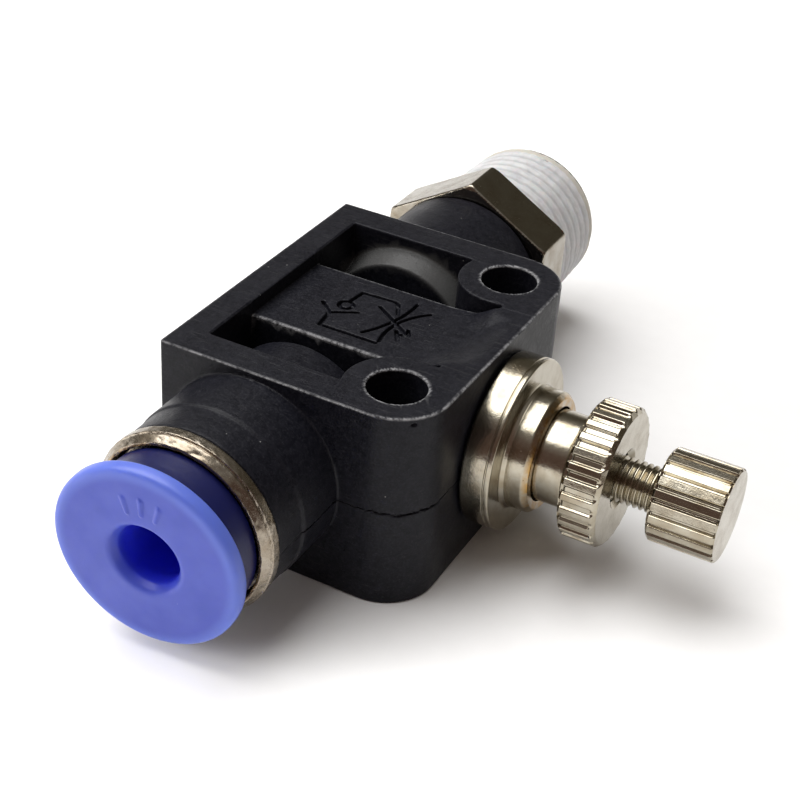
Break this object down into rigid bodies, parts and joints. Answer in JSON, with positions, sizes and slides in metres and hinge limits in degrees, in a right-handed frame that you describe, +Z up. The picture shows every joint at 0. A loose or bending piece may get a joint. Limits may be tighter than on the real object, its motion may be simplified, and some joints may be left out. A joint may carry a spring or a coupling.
{
  "type": "in-line flow control valve",
  "caption": "In-line pneumatic flow control valve: push-in tube end with a release ring, male threaded hexagon end, and a side needle with a knurled knob and locknut.",
  "frame": {"origin": "on the body's bottom face, under the crossing of the flow axis and the needle axis", "axes": "+X along the needle axis towards the knob; +Y along the flow axis towards the threaded end; +Z up, out of the face with the platform"},
  "size_m": [0.0294, 0.046, 0.0124],
  "materials": {
    "black_nylon": "satin moulded nylon with a fine grain",
    "blue_acetal": "smooth moulded acetal, slightly translucent",
    "nickel_brass": "nickel plated, turned",
    "bare_brass": "turned",
    "spring_steel": "stamped",
    "seal_rubber": "matt",
    "white_sealant": "dry coating"
  },
  "bodies": {
    "body": {"valve_body": "black_nylon", "collet_retainer_ring": "nickel_brass", "grab_ring": "spring_steel", "grab_ring_holder": "bare_brass", "tube_seal": "seal_rubber", "needle_bushing": "nickel_brass", "bushing_oring": "seal_rubber", "needle_guide": "nickel_brass", "seat_sleeve": "bare_brass", "check_seal": "seal_rubber"},
    "collet": {"release_collet": "blue_acetal"},
    "needle_carriage": {"stem_oring": "seal_rubber"},
    "needle": {"needle_stem": "nickel_brass", "stem_stop_ring": "spring_steel", "adjusting_knob": "nickel_brass"},
    "locknut": {"locknut": "nickel_brass"},
    "fitting": {"threaded_fitting": "nickel_brass", "thread_sealant": "white_sealant", "fitting_oring": "seal_rubber", "fitting_retaining_ring": "spring_steel"}
  },
  "joints": [
    {"name": "collet_press", "type": "slide", "parent": "body", "child": "collet", "axis": [0, 1, 0], "range_m": [0, 0.0008], "stiffness_N_per_m": 300, "springref_m": -0.0003},
    {"name": "needle_travel", "type": "slide", "parent": "body", "child": "needle_carriage", "axis": [1, 0, 0], "range_m": [-0.0021, 0.0014]},
    {"name": "needle_turn", "type": "hinge", "parent": "needle_carriage", "child": "needle", "pos_m": [0, 0, 0.0062], "axis": [1, 0, 0], "range_deg": [-2161, 1441]},
    {"name": "locknut_turn", "type": "hinge", "parent": "body", "child": "locknut", "pos_m": [0.0164, 0, 0.0062], "axis": [1, 0, 0], "range_deg": [-300, 2160]},
    {"name": "fitting_swivel", "type": "hinge", "parent": "body", "child": "fitting", "pos_m": [0, 0.015, 0.0062], "axis": [0, 1, 0], "continuous": true}
  ],
  "couplings": [
    {"joint": "needle_turn", "follows": "needle_travel", "rad_per_m": 17952}
  ]
}
